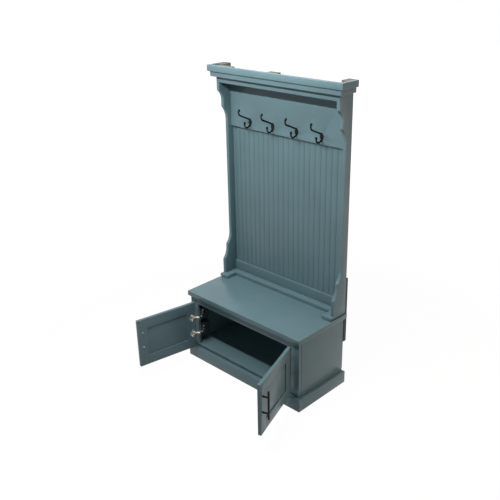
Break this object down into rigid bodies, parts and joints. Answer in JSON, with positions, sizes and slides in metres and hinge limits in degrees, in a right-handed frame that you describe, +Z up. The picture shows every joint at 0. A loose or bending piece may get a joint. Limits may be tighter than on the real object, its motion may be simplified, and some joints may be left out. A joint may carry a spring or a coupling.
{
  "type": "hall tree",
  "caption": "Free-standing hall tree: a bench cabinet with a pair of hinged doors, and a beaded hutch with coat hooks under a stepped crown.",
  "frame": {"origin": "on the floor, at the centre of the plinth's footprint, front to back and side to side", "axes": "+Z up, +X to the right of someone who faces the front, +Y towards the back, so the doors face -Y"},
  "size_m": [1.0972, 0.8725, 1.866],
  "materials": {
    "paint": "satin blue-grey paint over wood boards",
    "raw_wood": "raw brown wood, unfinished",
    "dark_wood": "wood stained nearly black",
    "hinge_steel": "bright nickel-plated steel",
    "black_iron": "satin black powder coat",
    "screw_steel": "zinc-plated screws",
    "bronze_screw": "brown bronze-coloured screws",
    "rubber": "soft black rubber pads"
  },
  "bodies": {
    "cabinet": {"plinth_front": "paint", "plinth_left": "paint", "plinth_right": "paint", "base_frame": "paint", "centre_rail": "raw_wood", "floor_panel": "paint", "cabinet_side_left": "paint", "cabinet_side_right": "paint", "cabinet_back": "paint", "face_stile_left": "paint", "face_stile_right": "paint", "top_rail": "paint", "bench_top": "paint", "hinge_blocks": "dark_wood", "hinge_plates": "hinge_steel", "hinge_arms": "hinge_steel", "hinge_plate_screws": "hinge_steel", "floor_bumpers": "rubber", "hutch_base_plates": "paint", "hutch_base_strip": "paint", "hutch_side_left": "paint", "hutch_side_right": "paint", "beaded_back": "paint", "hutch_foot_rail": "paint", "hook_board": "paint", "header_rail": "paint", "hutch_top_board": "paint", "crown_moulding_front": "paint", "crown_moulding_returns": "paint", "crown_fascia_front": "paint", "crown_fascia_returns": "paint", "crown_corner_blocks": "raw_wood", "crown_glue_blocks": "raw_wood", "hook_1": "black_iron", "hook_2": "black_iron", "hook_3": "black_iron", "hook_4": "black_iron", "hook_screws": "bronze_screw", "joining_cleats": "dark_wood", "cleat_screws": "screw_steel"},
    "left_door": {"left_door_hinge_stile": "paint", "left_door_pull_stile": "paint", "left_door_rails": "paint", "left_door_panel": "paint", "left_hinge_cups": "hinge_steel", "left_cup_screws": "hinge_steel", "left_handle": "black_iron", "left_handle_screws": "screw_steel", "left_door_pad": "rubber"},
    "left_links": {"left_hinge_links": "hinge_steel"},
    "right_door": {"right_door_hinge_stile": "paint", "right_door_pull_stile": "paint", "right_door_rails": "paint", "right_door_panel": "paint", "right_hinge_cups": "hinge_steel", "right_cup_screws": "hinge_steel", "right_handle": "black_iron", "right_handle_screws": "screw_steel", "right_door_pad": "rubber"},
    "right_links": {"right_hinge_links": "hinge_steel"}
  },
  "joints": [
    {"name": "left_door_hinge", "type": "hinge", "parent": "cabinet", "child": "left_door", "pos_m": [-0.416, -0.217, 0.258], "axis": [0, 0, 1], "range_deg": [-10, 100]},
    {"name": "left_link_turn", "type": "hinge", "parent": "cabinet", "child": "left_links", "pos_m": [-0.416, -0.217, 0.258], "axis": [0, 0, 1], "range_deg": [-5.33, 53.3]},
    {"name": "right_door_hinge", "type": "hinge", "parent": "cabinet", "child": "right_door", "pos_m": [0.416, -0.217, 0.258], "axis": [0, 0, 1], "range_deg": [-109, 1]},
    {"name": "right_link_turn", "type": "hinge", "parent": "cabinet", "child": "right_links", "pos_m": [0.416, -0.217, 0.258], "axis": [0, 0, 1], "range_deg": [-58.1, 0.53]}
  ],
  "couplings": [
    {"joint": "left_link_turn", "follows": "left_door_hinge", "ratio": 0.533},
    {"joint": "right_link_turn", "follows": "right_door_hinge", "ratio": 0.533}
  ]
}
